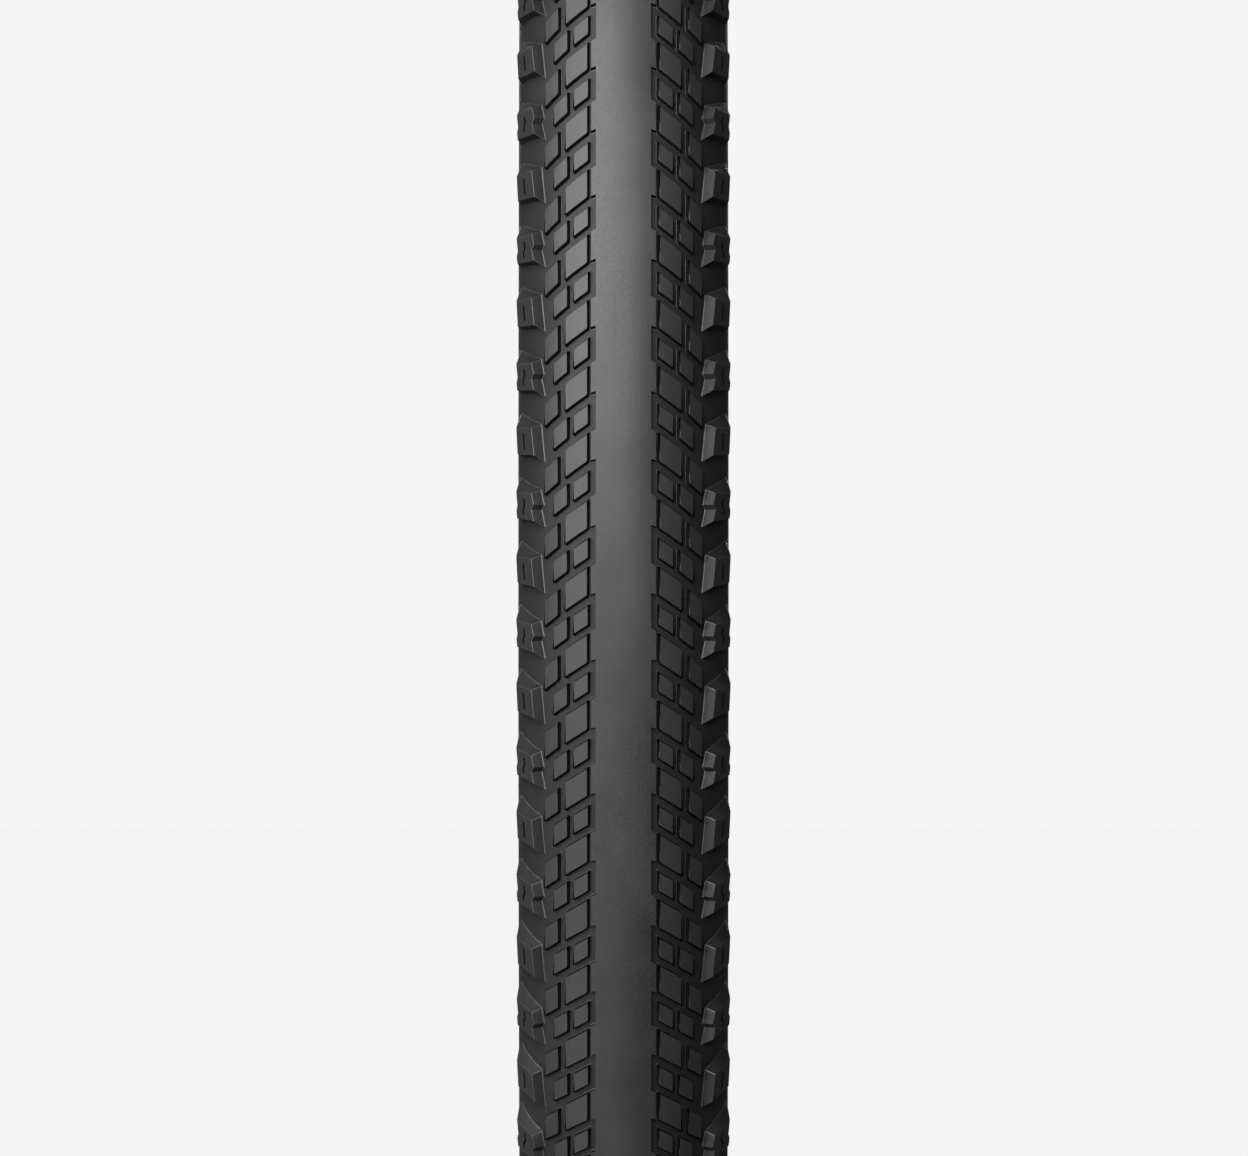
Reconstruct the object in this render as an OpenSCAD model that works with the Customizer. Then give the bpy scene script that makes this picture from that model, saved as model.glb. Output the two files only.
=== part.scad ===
// Bicycle tyre, 40-622, with a smooth centre tread, diamond tread blocks and alternating side knobs.
// The wheel's axle is the Y axis, the wheel's centre is the origin and +Z is up.
// Left is -Y and right is +Y. Where the tread faces +X, its chevrons point up.
// Angles of the section are counted from the crown of the tread towards the beads.

/* [Wheel] */
// Diameter of the rim's bead seat, where the tyre fits
bead_seat_d = 622; // [616:1:640]
// Width across the sidewalls
section_w = 39.8; // [39:0.1:41]
// Distance from the middle plane to the centre of each bead core
bead_half_gap = 11.3; // [10.5:0.1:12]

/* [Layers] */
// Radius of a bead core
core_r = 1.2; // [1:0.05:1.4]
// Thickness of the casing ply
ply_t = 0.4; // [0.3:0.05:0.5]
// Thickness of the air-tight inner liner
liner_t = 0.2; // [0.2:0.05:0.4]
// Thickness of the sidewall rubber
skin_t = 0.3; // [0.2:0.05:0.5]
// Thickness of the chafer under the bead
chafer_t = 0.5; // [0.4:0.05:0.7]
// Thickness of the puncture belt
belt_t = 0.4; // [0.2:0.05:0.5]
// Thickness of the undertread over the puncture belt
undertread_t = 0.4; // [0.3:0.05:0.5]
// Angle of the section at the edge of the puncture belt
belt_angle = 40; // [30:2:50]
// Angle of the section at the edge of the undertread, where the ply's turned-up edges end
undertread_angle = 58; // [54:2:62]
// Angle of the section where the shoulder tread gives way to the sidewall
shoulder_angle = 78; // [76:2:84]
// Angle of the section where the sidewall gives way to the chafer
chafer_angle = 130; // [128:2:132]
// Angle of the section at the fitting rib, which shows that the tyre sits true on its rim
rib_angle = 122; // [114:2:124]
// Height of the fitting rib
rib_h = 0.3; // [0.1:0.05:0.5]

/* [Tread] */
// Extra thickness of the tread at the crown over the sidewall rubber
crown_rise = 1.2; // [0.8:0.1:1.6]
// Height of the centre band and of the tread blocks
relief_h = 0.8; // [0.5:0.05:1]
// Angle of the section at the edge of the centre band
band_angle = 16; // [12:2:16]
// Number of times that the tread pattern repeats around the tyre, always even
pitches = 174; // [170:2:176]
// Fall of the blocks' slanted edges for each millimetre outwards
block_slope = 0.61; // [0.4:0.01:0.8]

/* [Side knobs] */
// Height of a side knob's outer edge over the tread
knob_h = 1.45; // [1:0.05:1.8]
// Height of a side knob's ridge over the tread
knob_ridge_h = 2; // [1:0.05:2.2]
// Angle of the section at the inner foot of a knob
knob_foot_angle = 46.8; // [46:0.1:48]
// Angle of the section at the ridge of a knob
knob_ridge_angle = 49.6; // [49:0.1:53]
// Angle of the section at the outer edge of a knob
knob_edge_angle = 70.5; // [66:0.1:71]
// Length of a knob along its ridge
knob_length = 5.4; // [4:0.1:6]

/* [Hidden] */
$fn = 180;

// Step between the points of a section's arcs, and room between pieces that would only graze
SECTION_STEP = 2;
CORE_STEP = 15;
KNOB_STEP = 8;
CLEAR = 0.03;

// Radii of the layers, from the middle of the section
skin_ro = section_w / 2;
turnup_ro = skin_ro - skin_t;
ply_ro = turnup_ro - ply_t;
ply_ri = ply_ro - ply_t;
liner_ri = ply_ri - liner_t;
belt_ro = ply_ro + belt_t;
undertread_ro = belt_ro + undertread_t;
flat_tread_r = skin_ro + crown_rise + relief_h;

// The bead core lies against the outer face of the ply, and the chafer under it reaches the seat
core_rho = ply_ro + core_r;
core_angle = 180 - asin(bead_half_gap / core_rho);
wrap_r = core_r + ply_t;
seat_r = bead_seat_d / 2;
centre_r = seat_r + chafer_t + wrap_r - core_rho * cos(core_angle);
crown_r = centre_r + flat_tread_r;

// Points of the section are [distance from the axle, distance from the middle plane]
function sec(angle, rho) = [centre_r + rho * cos(angle), rho * sin(angle)];
function tread_rho(angle) = skin_ro + crown_rise * max(0, cos(angle));
function steps(from, to, step) =
    let (n = max(1, ceil(abs(to - from) / step - 0.001)))
    [for (i = [0:n]) from + (to - from) * i / n];
// Angles from one to another, with every whole step between them
function angles(from, to) =
    let (dir = to > from ? 1 : -1)
    let (first = SECTION_STEP * (dir > 0 ? floor(from / SECTION_STEP) + 1 : ceil(from / SECTION_STEP) - 1))
    concat(from, [for (a = first; dir * (to - a) > 0.001; a = a + dir * SECTION_STEP) a], to);
function arc(from, to, rho) = [for (a = angles(from, to)) sec(a, rho)];
function tread_arc(from, to, rise) = [for (a = angles(from, to)) sec(a, tread_rho(a) + rise)];

// Arcs around the bead core are counted from the direction away from the axle, outboard being 90
core_c = sec(core_angle, core_rho);
function core_arc(from, to, r) = [for (t = steps(from, to, CORE_STEP)) core_c + r * [cos(t), sin(t)]];
// Angle at which a line from p touches the outboard side of a circle around the core
function touch_angle(p, r) =
    let (v = p - core_c)
    atan2(v[1], v[0]) + acos(r / norm(v));
ply_meets_core = core_angle - 180;
turnup_inside = touch_angle(sec(chafer_angle, ply_ro), core_r);
turnup_outside = touch_angle(sec(chafer_angle, turnup_ro), wrap_r);

// Revolves a section about the axle
module ring(points) {
    rotate([-90, 0, 0])
        rotate_extrude()
            polygon(points);
}

// Puts a piece that is drawn for the right side on the left side
module on_left() {
    mirror([0, 1, 0])
        children();
}

module centre_tread() {
    color("#4a4a4a")
        ring(concat(
            tread_arc(-band_angle, band_angle, relief_h),
            arc(band_angle, -band_angle, undertread_ro)));
}

module shoulder_tread() {
    color("#303030")
        ring(concat(
            tread_arc(band_angle, shoulder_angle, 0),
            arc(shoulder_angle, undertread_angle, turnup_ro),
            arc(undertread_angle, band_angle, undertread_ro)));
}

// One tread block, drawn on the tread laid flat: s runs outwards from the centre line and u runs up.
// Its inner and outer sides run along the tyre, and its other two sides fall outwards.
module block(s_in, s_out, u_low, u_high) {
    half_w = (s_out - s_in) / 2;
    half_l = (u_high - u_low) / 2;
    fall = block_slope * half_w;
    u_mid = (u_low + u_high) / 2 - fall;
    mid_angle = (s_in + s_out) / 2 / flat_tread_r * 180 / PI;
    foot = sec(mid_angle, tread_rho(mid_angle) + CLEAR);
    rotate([0, -u_mid / crown_r * 180 / PI, 0])
        translate([foot[0], foot[1], 0])
            rotate([0, 0, mid_angle])
                rotate([90, 0, 90])
                    linear_extrude(relief_h - CLEAR)
                        polygon([
                            [-half_w, fall - half_l],
                            [half_w, -fall - half_l],
                            [half_w, half_l - fall],
                            [-half_w, half_l + fall]
                        ]);
}

// The same block at every pitch around the tyre
module block_row(s_in, s_out, u_low, u_high) {
    for (i = [0:pitches - 1])
        rotate([0, i * 360 / pitches, 0])
            block(s_in, s_out, u_low, u_high);
}

module large_blocks() {
    color("#474747")
        block_row(6.95, 11.7, -2.65, 2.7);
}

module small_blocks() {
    color("#474747")
        block_row(6.8, 9.85, -8.2, -4.55);
}

module mid_blocks() {
    color("#3e3e3e")
        block_row(11.2, 14.45, -10.8, -6.85);
}

module outer_blocks() {
    color("#3a3a3a")
        block_row(13.35, 16.8, -6.3, -1.65);
}

// Section of a side knob, which stands on the shoulder tread
module knob_section() {
    polygon(concat(
        [
            sec(knob_ridge_angle, tread_rho(knob_ridge_angle) + knob_ridge_h),
            sec(knob_edge_angle, tread_rho(knob_edge_angle) + knob_h)
        ],
        [for (a = steps(shoulder_angle - 1.5, knob_foot_angle, KNOB_STEP)) sec(a, tread_rho(a) + 3 * CLEAR)]));
}

// A side knob: a bar of that section, cut to the outline that it shows from outside the wheel
module knob(outline) {
    intersection() {
        linear_extrude(3 * knob_length, center = true)
            knob_section();
        translate([centre_r, 0, 0])
            rotate([90, 0, 90])
                linear_extrude(flat_tread_r)
                    polygon(outline);
    }
}

// The same knob at every second pitch around the tyre
module knob_row(first, outline) {
    for (i = [first:2:pitches - 1])
        rotate([0, i * 360 / pitches, 0])
            knob(outline);
}

// A knob's ends, and the distances from the middle plane at which its outline turns
knob_low = -0.6;
knob_top = knob_low + knob_length;
knob_middle = (knob_low + knob_top) / 2;
outline_in = 12;
outline_ridge = sec(knob_ridge_angle, tread_rho(knob_ridge_angle) + knob_ridge_h)[1];
outline_out = 24;
lower_end = [
    [outline_in, knob_low - 2.8],
    [outline_ridge, knob_low - 0.4],
    [outline_out, knob_low + 1.4]
];
upper_end = [
    [outline_out, knob_top + 1],
    [outline_ridge, knob_top - 0.4],
    [outline_in, knob_top + 1]
];
side_notch = [
    [outline_out, knob_middle - 1.5],
    [skin_ro - 0.2, knob_middle],
    [outline_out, knob_middle + 0.5]
];

module plain_knobs() {
    color("#333333")
        knob_row(0, concat(lower_end, upper_end));
}

module notched_knobs() {
    color("#333333")
        knob_row(1, concat(lower_end, side_notch, upper_end));
}

module undertread() {
    color("#262626")
        ring(concat(
            arc(-undertread_angle, undertread_angle, undertread_ro),
            arc(undertread_angle, belt_angle, ply_ro),
            arc(belt_angle, -belt_angle, belt_ro),
            arc(-belt_angle, -undertread_angle, ply_ro)));
}

module puncture_belt() {
    color("#c9a227")
        ring(concat(
            arc(-belt_angle, belt_angle, belt_ro),
            arc(belt_angle, -belt_angle, ply_ro)));
}

// The right half of the ply's outline: down inside the bead, around its core, and back up outside
half_ply = concat(
    arc(0, core_angle, ply_ri),
    core_arc(ply_meets_core, turnup_outside - 360, wrap_r),
    arc(chafer_angle, undertread_angle, turnup_ro),
    arc(undertread_angle, 0, ply_ro));

// The pocket that the ply folds around the bead core and its filler
module bead_pocket() {
    ring(concat(
        arc(chafer_angle, core_angle, ply_ro),
        core_arc(ply_meets_core, turnup_inside - 360, core_r)));
}

// One ply runs from bead to bead, and its turned-up edges end under the tread
module casing_ply() {
    color("#5b4b3a")
        difference() {
            union() {
                ring(half_ply);
                on_left()
                    ring(half_ply);
            }
            bead_pocket();
            on_left()
                bead_pocket();
        }
}

module inner_liner() {
    color("#1c1c1c")
        ring(concat(
            arc(-core_angle, core_angle, ply_ri),
            arc(core_angle, -core_angle, liner_ri)));
}

module bead_core() {
    color("#b8912f")
        rotate([-90, 0, 0])
            rotate_extrude()
                translate(core_c)
                    circle(core_r - CLEAR);
}

module bead_filler() {
    color("#202020")
        ring(concat(
            arc(chafer_angle, core_angle, ply_ro),
            core_arc(ply_meets_core, turnup_inside, core_r)));
}

module sidewall() {
    color("#2b2b2b")
        ring(concat(
            tread_arc(shoulder_angle, rib_angle - 2, 0),
            [sec(rib_angle, skin_ro + rib_h)],
            arc(rib_angle + 2, chafer_angle, skin_ro),
            arc(chafer_angle, shoulder_angle, turnup_ro)));
}

// The chafer wraps the bead from inside the tyre, over its toe, seat and heel, up to the sidewall
module chafer() {
    color("#242424")
        ring(concat(
            [
                sec(chafer_angle, skin_ro),
                [seat_r + 1.6, bead_half_gap + 2.1],
                [seat_r + 0.45, bead_half_gap + 2],
                [seat_r, bead_half_gap + 1.5],
                [seat_r, bead_half_gap - 1.1],
                [seat_r + 0.5, bead_half_gap - 1.6]
            ],
            core_arc(-115, ply_meets_core, wrap_r + liner_t),
            core_arc(ply_meets_core, turnup_outside - 360, wrap_r),
            [sec(chafer_angle, turnup_ro)]));
}

centre_tread();
on_left() shoulder_tread();  // shoulder_tread_left
shoulder_tread();  // shoulder_tread_right
on_left() large_blocks();  // large_blocks_left
large_blocks();  // large_blocks_right
on_left() small_blocks();  // small_blocks_left
small_blocks();  // small_blocks_right
on_left() mid_blocks();  // mid_blocks_left
mid_blocks();  // mid_blocks_right
on_left() outer_blocks();  // outer_blocks_left
outer_blocks();  // outer_blocks_right
on_left() plain_knobs();  // plain_knobs_left
plain_knobs();  // plain_knobs_right
on_left() notched_knobs();  // notched_knobs_left
notched_knobs();  // notched_knobs_right
undertread();
puncture_belt();
casing_ply();
inner_liner();
on_left() bead_core();  // bead_core_left
bead_core();  // bead_core_right
on_left() bead_filler();  // bead_filler_left
bead_filler();  // bead_filler_right
on_left() sidewall();  // sidewall_left
sidewall();  // sidewall_right
on_left() chafer();  // chafer_left
chafer();  // chafer_right
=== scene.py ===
"""Looks of a 40-622 bicycle tyre with a smooth centre tread, diamond tread blocks and side knobs.

The wheel's axle is the Y axis and its centre is the origin. Left is -Y and right is +Y. Sizes are in
millimetres until a point is put on the tyre, which turns it to metres. Angles of the section are degrees,
counted from the crown of the tread towards the beads. On the flat pattern s runs outwards from the centre
line, u runs up the tread where it faces +X, and h is the height over the shoulder tread.
"""

import logging
import math
from collections.abc import Callable, Sequence
from dataclasses import dataclass
from enum import Enum, IntEnum

import bmesh
import bpy
from mathutils import Matrix, Vector


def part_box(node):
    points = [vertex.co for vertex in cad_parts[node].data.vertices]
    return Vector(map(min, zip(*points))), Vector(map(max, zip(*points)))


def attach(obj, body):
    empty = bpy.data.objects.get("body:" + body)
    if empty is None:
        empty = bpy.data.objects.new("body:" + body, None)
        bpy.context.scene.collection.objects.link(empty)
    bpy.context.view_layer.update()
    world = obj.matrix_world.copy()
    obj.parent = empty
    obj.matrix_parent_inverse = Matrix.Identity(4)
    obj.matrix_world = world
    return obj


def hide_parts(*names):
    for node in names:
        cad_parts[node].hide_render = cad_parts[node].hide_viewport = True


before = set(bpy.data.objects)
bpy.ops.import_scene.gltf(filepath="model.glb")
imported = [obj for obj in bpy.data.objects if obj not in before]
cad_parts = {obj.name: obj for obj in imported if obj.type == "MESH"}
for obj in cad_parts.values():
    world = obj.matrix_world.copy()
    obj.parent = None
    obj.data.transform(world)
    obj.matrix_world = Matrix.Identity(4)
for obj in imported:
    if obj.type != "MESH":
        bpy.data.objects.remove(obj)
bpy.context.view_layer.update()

log = logging.getLogger("tyre")

MM = 0.001
AXLE = Vector((0.0, 1.0, 0.0))
PITCHES = 174
PAIRS = PITCHES // 2
RING_STEPS = 2 * PITCHES
# Edges of moulded pieces that turn by more degrees than this stay crisp
MOULDED_CRISP = 18.0
# Places among the materials of the band and the blocks of the walls' near-black painted shade and of the
# edges' lighter painted highlight
WALL_FINISH = 1
EDGE_FINISH = 2

Outline = list[tuple[float, float]]


class Side(Enum):
    """The side of the tyre that a piece is on, as the sign of its distance from the middle plane."""

    LEFT = -1
    RIGHT = 1

    @property
    def word(self) -> str:
        """The word that ends the names of this side's pieces."""
        return self.name.lower()


# ---------------------------------------------------------------------------------------------------------
# The tyre's section and its flat pattern


@dataclass(frozen=True)
class Section:
    """The section that every piece is laid on: a circle round the air space with more rubber at the crown."""

    crown_r: float
    skin_r: float = 19.9
    crown_rise: float = 1.2
    relief: float = 0.8
    ply_r: float = 19.2
    turnup_r: float = 19.6
    undertread_r: float = 20.0
    liner_in: float = 18.6

    @property
    def flat_r(self) -> float:
        """Radius of the blocks' tops at the crown, which turns s into an angle of the section."""
        return self.skin_r + self.crown_rise + self.relief

    @property
    def centre_r(self) -> float:
        """Distance from the axle to the middle of the section."""
        return self.crown_r - self.flat_r

    @property
    def pitch(self) -> float:
        """Length of one repeat of the tread pattern along the crown."""
        return 2 * math.pi * self.crown_r / PITCHES

    def net(self, angle: float) -> float:
        """Radius of the shoulder tread's surface at an angle of the section."""
        return self.skin_r + self.crown_rise * max(0.0, math.cos(math.radians(angle)))

    def angle_at(self, s: float) -> float:
        """Angle of the section at a distance s on the flat pattern."""
        return math.degrees(s / self.flat_r)

    def polar(self, angle: float, rho: float) -> tuple[float, float]:
        """Distance from the axle and from the middle plane of a point of the section."""
        turn = math.radians(angle)
        return self.centre_r + rho * math.cos(turn), rho * math.sin(turn)

    def place(self, angle: float, height: float, up: float, side: Side) -> Vector:
        """Puts a point on the tyre.

        Args:
            angle: Angle of the section, from the crown.
            height: Height over the shoulder tread's surface.
            up: Distance up the crown from the level of the axle, where the tread faces +X.
            side: The side of the tyre.

        Returns:
            The point in the wheel's frame, in metres.
        """
        radius, offset = self.polar(angle, self.net(angle) + height)
        rise = up / self.crown_r
        return Vector((radius * math.cos(rise), side.value * offset, radius * math.sin(rise))) * MM

    def arc(self, start: float, end: float, rho: Callable[[float], float], step: float = 2.0) -> Outline:
        """Points of the section from one angle to another.

        Args:
            start: First angle.
            end: Last angle.
            rho: Gives the radius at an angle.
            step: Largest step between two points, in degrees.

        Returns:
            The points, as distances from the axle and from the middle plane.
        """
        count = max(1, math.ceil(abs(end - start) / step - 0.001))
        turns = [start + (end - start) * i / count for i in range(count + 1)]
        return [self.polar(turn, rho(turn)) for turn in turns]


# ---------------------------------------------------------------------------------------------------------
# Finishes


def linear(hex_colour: str) -> tuple[float, float, float, float]:
    """Turns an sRGB hex colour into the linear colour that a shader takes.

    Args:
        hex_colour: A colour such as "#2b2b2b".

    Returns:
        Red, green, blue and alpha, linear.
    """
    parts = [int(hex_colour[i:i + 2], 16) / 255 for i in (1, 3, 5)]
    light = [c / 12.92 if c <= 0.04045 else ((c + 0.055) / 1.055) ** 2.4 for c in parts]
    return (*light, 1.0)


def add_node(tree: bpy.types.NodeTree, kind: str, settings: dict | None = None,
             values: dict | None = None, links: dict | None = None) -> bpy.types.Node:
    """Adds one node to a material's tree.

    Args:
        tree: The tree.
        kind: The node's type name.
        settings: The node's own properties.
        values: Constants for its input sockets, by name or number.
        links: Output sockets that feed its input sockets, by name or number.

    Returns:
        The new node.
    """
    node = tree.nodes.new(kind)
    for name, value in (settings or {}).items():
        setattr(node, name, value)
    for name, value in (values or {}).items():
        node.inputs[name].default_value = value
    for name, output in (links or {}).items():
        tree.links.new(output, node.inputs[name])
    return node


def blend_colours(tree: bpy.types.NodeTree, factor: bpy.types.NodeSocket, low: str,
                  high: str) -> bpy.types.NodeSocket:
    """Adds a mix of two sRGB colours and returns its output.

    Args:
        tree: The material's tree.
        factor: Output socket that runs from 0, the low colour, to 1, the high colour.
        low: sRGB hex colour.
        high: sRGB hex colour.

    Returns:
        The colour's output socket.
    """
    mix = add_node(
        tree, "ShaderNodeMix", {"data_type": "RGBA"}, {6: linear(low), 7: linear(high)}, {0: factor})
    return mix.outputs[2]


def new_tree(name: str) -> tuple[bpy.types.Material, bpy.types.NodeTree]:
    """Makes a material with an empty node tree."""
    material = bpy.data.materials.new(name)
    material.use_nodes = True
    material.node_tree.nodes.clear()
    return material, material.node_tree


@dataclass(frozen=True)
class MouldedRubber:
    """Vulcanised rubber as it leaves a steel mould.

    To the eye it is an almost black, neutral grey with a soft satin sheen. Fine grit from the mould's
    blasted surface breaks the sheen, and the carbon black is a little uneven over some centimetres.
    """

    name: str
    dark: str
    light: str
    roughness: float = 0.5
    specular: float = 0.5
    grit_mm: float = 0.35
    grit_depth_mm: float = 0.012
    patch_mm: float = 14.0
    roughness_play: float = 0.06
    # Reach of the painted crevice shade, which darkens the colour where walls stand close; 0 paints none
    crevice_mm: float = 0.0
    crevice_colour: str = "#060606"
    open_share: tuple[float, float] = (0.45, 0.95)

    def crevices(self, tree: bpy.types.NodeTree, colour: bpy.types.NodeSocket) -> bpy.types.NodeSocket:
        """Paints shade into the colour where walls stand close, from an Ambient Occlusion node.

        Args:
            tree: The material's tree.
            colour: The rubber's colour.

        Returns:
            The colour's new output socket.
        """
        if not self.crevice_mm:
            return colour
        open_sky = add_node(
            tree, "ShaderNodeAmbientOcclusion", {"samples": 8}, {"Distance": self.crevice_mm * MM})
        share = add_node(
            tree, "ShaderNodeMapRange", {}, {"From Min": self.open_share[0], "From Max": self.open_share[1]},
            {"Value": open_sky.outputs["AO"]})
        mix = add_node(
            tree, "ShaderNodeMix", {"data_type": "RGBA"}, {6: linear(self.crevice_colour)},
            {0: share.outputs[0], 7: colour})
        return mix.outputs[2]

    def material(self) -> bpy.types.Material:
        """Builds the rubber's nodes and returns the material."""
        material, tree = new_tree(self.name)
        place = add_node(tree, "ShaderNodeTexCoord").outputs["Object"]
        grit = add_node(
            tree, "ShaderNodeTexNoise", {},
            {"Scale": 1 / (self.grit_mm * MM), "Detail": 3.0, "Roughness": 0.6}, {"Vector": place})
        patch = add_node(
            tree, "ShaderNodeTexNoise", {},
            {"Scale": 1 / (self.patch_mm * MM), "Detail": 2.0}, {"Vector": place})
        tone = add_node(
            tree, "ShaderNodeMath", {"operation": "MULTIPLY_ADD"}, {1: 0.45},
            {0: grit.outputs["Fac"], 2: patch.outputs["Fac"]})
        spread = add_node(
            tree, "ShaderNodeMapRange", {}, {"From Min": 0.5, "From Max": 0.95}, {"Value": tone.outputs[0]})
        # The painted crevice shade goes over the rubber's mottled colour
        colour = self.crevices(tree, blend_colours(tree, spread.outputs[0], self.dark, self.light))
        rough = add_node(
            tree, "ShaderNodeMapRange", {},
            {"From Min": 0.3, "From Max": 0.7, "To Min": self.roughness - self.roughness_play,
             "To Max": self.roughness + self.roughness_play}, {"Value": grit.outputs["Fac"]})
        bump = add_node(
            tree, "ShaderNodeBump", {}, {"Strength": 1.0, "Distance": self.grit_depth_mm * MM},
            {"Height": grit.outputs["Fac"]})
        shader = add_node(
            tree, "ShaderNodeBsdfPrincipled", {}, {"Specular IOR Level": self.specular, "IOR": 1.5},
            {"Base Color": colour, "Roughness": rough.outputs[0], "Normal": bump.outputs[0]})
        add_node(tree, "ShaderNodeOutputMaterial", {}, {}, {"Surface": shader.outputs[0]})
        return material


@dataclass(frozen=True)
class WovenRubber:
    """Cord or fabric coated with rubber, whose threads show through the coat.

    To the eye it is dark rubber with two sets of fine parallel threads that cross at the bias angle.
    Threads are drawn at least 0.6 mm apart, coarser than the real cord, so that they show.
    """

    name: str
    dark: str
    light: str
    thread_mm: float = 0.7
    bias: float = 45.0
    depth_mm: float = 0.05
    roughness: float = 0.6
    specular: float = 0.4
    uses_uv: bool = True

    def threads(self, tree: bpy.types.NodeTree, place: bpy.types.NodeSocket,
                angle: float) -> bpy.types.NodeSocket:
        """Adds one set of parallel threads.

        Args:
            tree: The material's tree.
            place: Output socket with the place on the surface, in metres.
            angle: Angle between the threads and the tyre's circumference, in degrees.

        Returns:
            Output socket that is 1 on the threads and 0 between them.
        """
        turned = add_node(
            tree, "ShaderNodeMapping", {}, {"Rotation": (0.0, 0.0, math.radians(angle))}, {"Vector": place})
        # A wave texture repeats every pi / 10 of its scaled place
        wave = add_node(
            tree, "ShaderNodeTexWave", {"wave_type": "BANDS", "bands_direction": "X"},
            {"Scale": math.pi / 10 / (self.thread_mm * MM), "Distortion": 0.0}, {"Vector": turned.outputs[0]})
        return wave.outputs["Fac"]

    def material(self) -> bpy.types.Material:
        """Builds the weave's nodes and returns the material."""
        material, tree = new_tree(self.name)
        if self.uses_uv:
            place = add_node(tree, "ShaderNodeUVMap", {"uv_map": "Tyre"}).outputs["UV"]
        else:
            place = add_node(tree, "ShaderNodeTexCoord").outputs["Object"]
        warp = self.threads(tree, place, self.bias)
        weft = self.threads(tree, place, -self.bias)
        cloth = add_node(tree, "ShaderNodeMath", {"operation": "MAXIMUM"}, {}, {0: warp, 1: weft})
        colour = blend_colours(tree, cloth.outputs[0], self.dark, self.light)
        bump = add_node(
            tree, "ShaderNodeBump", {}, {"Strength": 1.0, "Distance": self.depth_mm * MM},
            {"Height": cloth.outputs[0]})
        shader = add_node(
            tree, "ShaderNodeBsdfPrincipled", {},
            {"Roughness": self.roughness, "Specular IOR Level": self.specular},
            {"Base Color": colour, "Normal": bump.outputs[0]})
        add_node(tree, "ShaderNodeOutputMaterial", {}, {}, {"Surface": shader.outputs[0]})
        return material


@dataclass(frozen=True)
class Finishes:
    """Every finish of the tyre, made once."""

    band: bpy.types.Material
    tread: bpy.types.Material
    net: bpy.types.Material
    # The next two are a lighter rubber that paints highlights on edges and a near-black rubber that paints
    # shade on walls and sipes
    edge: bpy.types.Material
    groove: bpy.types.Material
    knob: bpy.types.Material
    base: bpy.types.Material
    sidewall: bpy.types.Material
    chafer: bpy.types.Material
    liner: bpy.types.Material
    belt: bpy.types.Material
    ply: bpy.types.Material
    core: bpy.types.Material

    @classmethod
    def make(cls) -> "Finishes":
        """Mixes the rubbers and weaves, from the crown inwards."""
        return cls(
            band=MouldedRubber(
                "moulded_band_rubber", "#1a1a1a", "#292929", grit_mm=0.5, grit_depth_mm=0.02).material(),
            tread=MouldedRubber(
                "moulded_tread_rubber", "#212121", "#272727", grit_mm=0.35, grit_depth_mm=0.006).material(),
            # The net's rubber, with shade painted into its crevices
            net=MouldedRubber(
                "blasted_net_rubber", "#1a1a1a", "#202020", roughness=0.6, specular=0.33, grit_mm=0.4,
                grit_depth_mm=0.01, crevice_mm=3.5).material(),
            # Painted highlight: lighter, shinier rubber on fillets, top edges, knob feet and corners, to draw
            # light lines
            edge=MouldedRubber(
                "polished_edge_rubber", "#2b2b2b", "#343434", specular=0.6, grit_mm=0.3,
                grit_depth_mm=0.003).material(),
            # Painted shade: near-black, dull rubber on walls and sipes, where shade falls
            groove=MouldedRubber(
                "shaded_wall_rubber", "#050505", "#080808", roughness=0.75, specular=0.12, grit_mm=0.3,
                grit_depth_mm=0.003).material(),
            knob=MouldedRubber(
                "moulded_knob_rubber", "#212121", "#272727", grit_mm=0.4, grit_depth_mm=0.006).material(),
            base=MouldedRubber(
                "undertread_rubber", "#1c1c1c", "#232323", roughness=0.6, specular=0.4).material(),
            sidewall=WovenRubber(
                "corded_sidewall_rubber", "#1a1a1a", "#1f1f1f", depth_mm=0.02, roughness=0.55).material(),
            chafer=WovenRubber(
                "rubbered_chafer_weave", "#191919", "#2a2a2a", thread_mm=0.8, depth_mm=0.08,
                roughness=0.7).material(),
            liner=WovenRubber(
                "butyl_liner_skin", "#161616", "#1c1c1c", thread_mm=1.6, depth_mm=0.03,
                roughness=0.45).material(),
            belt=WovenRubber(
                "aramid_belt_weave", "#8f7426", "#c9a845", thread_mm=1.2, depth_mm=0.1,
                uses_uv=False).material(),
            ply=WovenRubber(
                "nylon_casing_cord", "#3d3328", "#66553f", depth_mm=0.06, uses_uv=False).material(),
            core=WovenRubber(
                "aramid_bead_strand", "#7c5f1d", "#b8912f", thread_mm=0.6, bias=20.0, depth_mm=0.1,
                roughness=0.5, uses_uv=False).material(),
        )


# ---------------------------------------------------------------------------------------------------------
# Making pieces


def mark_edges(bm: bmesh.types.BMesh, limit: float) -> None:
    """Shades every face smooth and keeps the edges that turn by more than limit degrees crisp."""
    for face in bm.faces:
        face.smooth = True
    for edge in bm.edges:
        if edge.is_manifold:
            edge.smooth = edge.calc_face_angle() < math.radians(limit)


def unroll(bm: bmesh.types.BMesh, section: Section) -> None:
    """Gives a mesh a UV map in metres: U runs round the tyre and V runs over its section.

    Args:
        bm: The mesh.
        section: The tyre's section.
    """
    layer = bm.loops.layers.uv.new("Tyre")
    middle = section.centre_r * MM
    for face in bm.faces:
        centre = face.calc_center_median()
        home = math.atan2(centre.z, centre.x)
        home_turn = math.atan2(centre.y, math.hypot(centre.x, centre.z) - middle)
        for loop in face.loops:
            spot = loop.vert.co
            round_axle = math.remainder(math.atan2(spot.z, spot.x) - home, 2 * math.pi) + home
            turn = math.atan2(spot.y, math.hypot(spot.x, spot.z) - middle)
            turn = math.remainder(turn - home_turn, 2 * math.pi) + home_turn
            loop[layer].uv = (round_axle * middle, turn * section.skin_r * MM)


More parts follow.
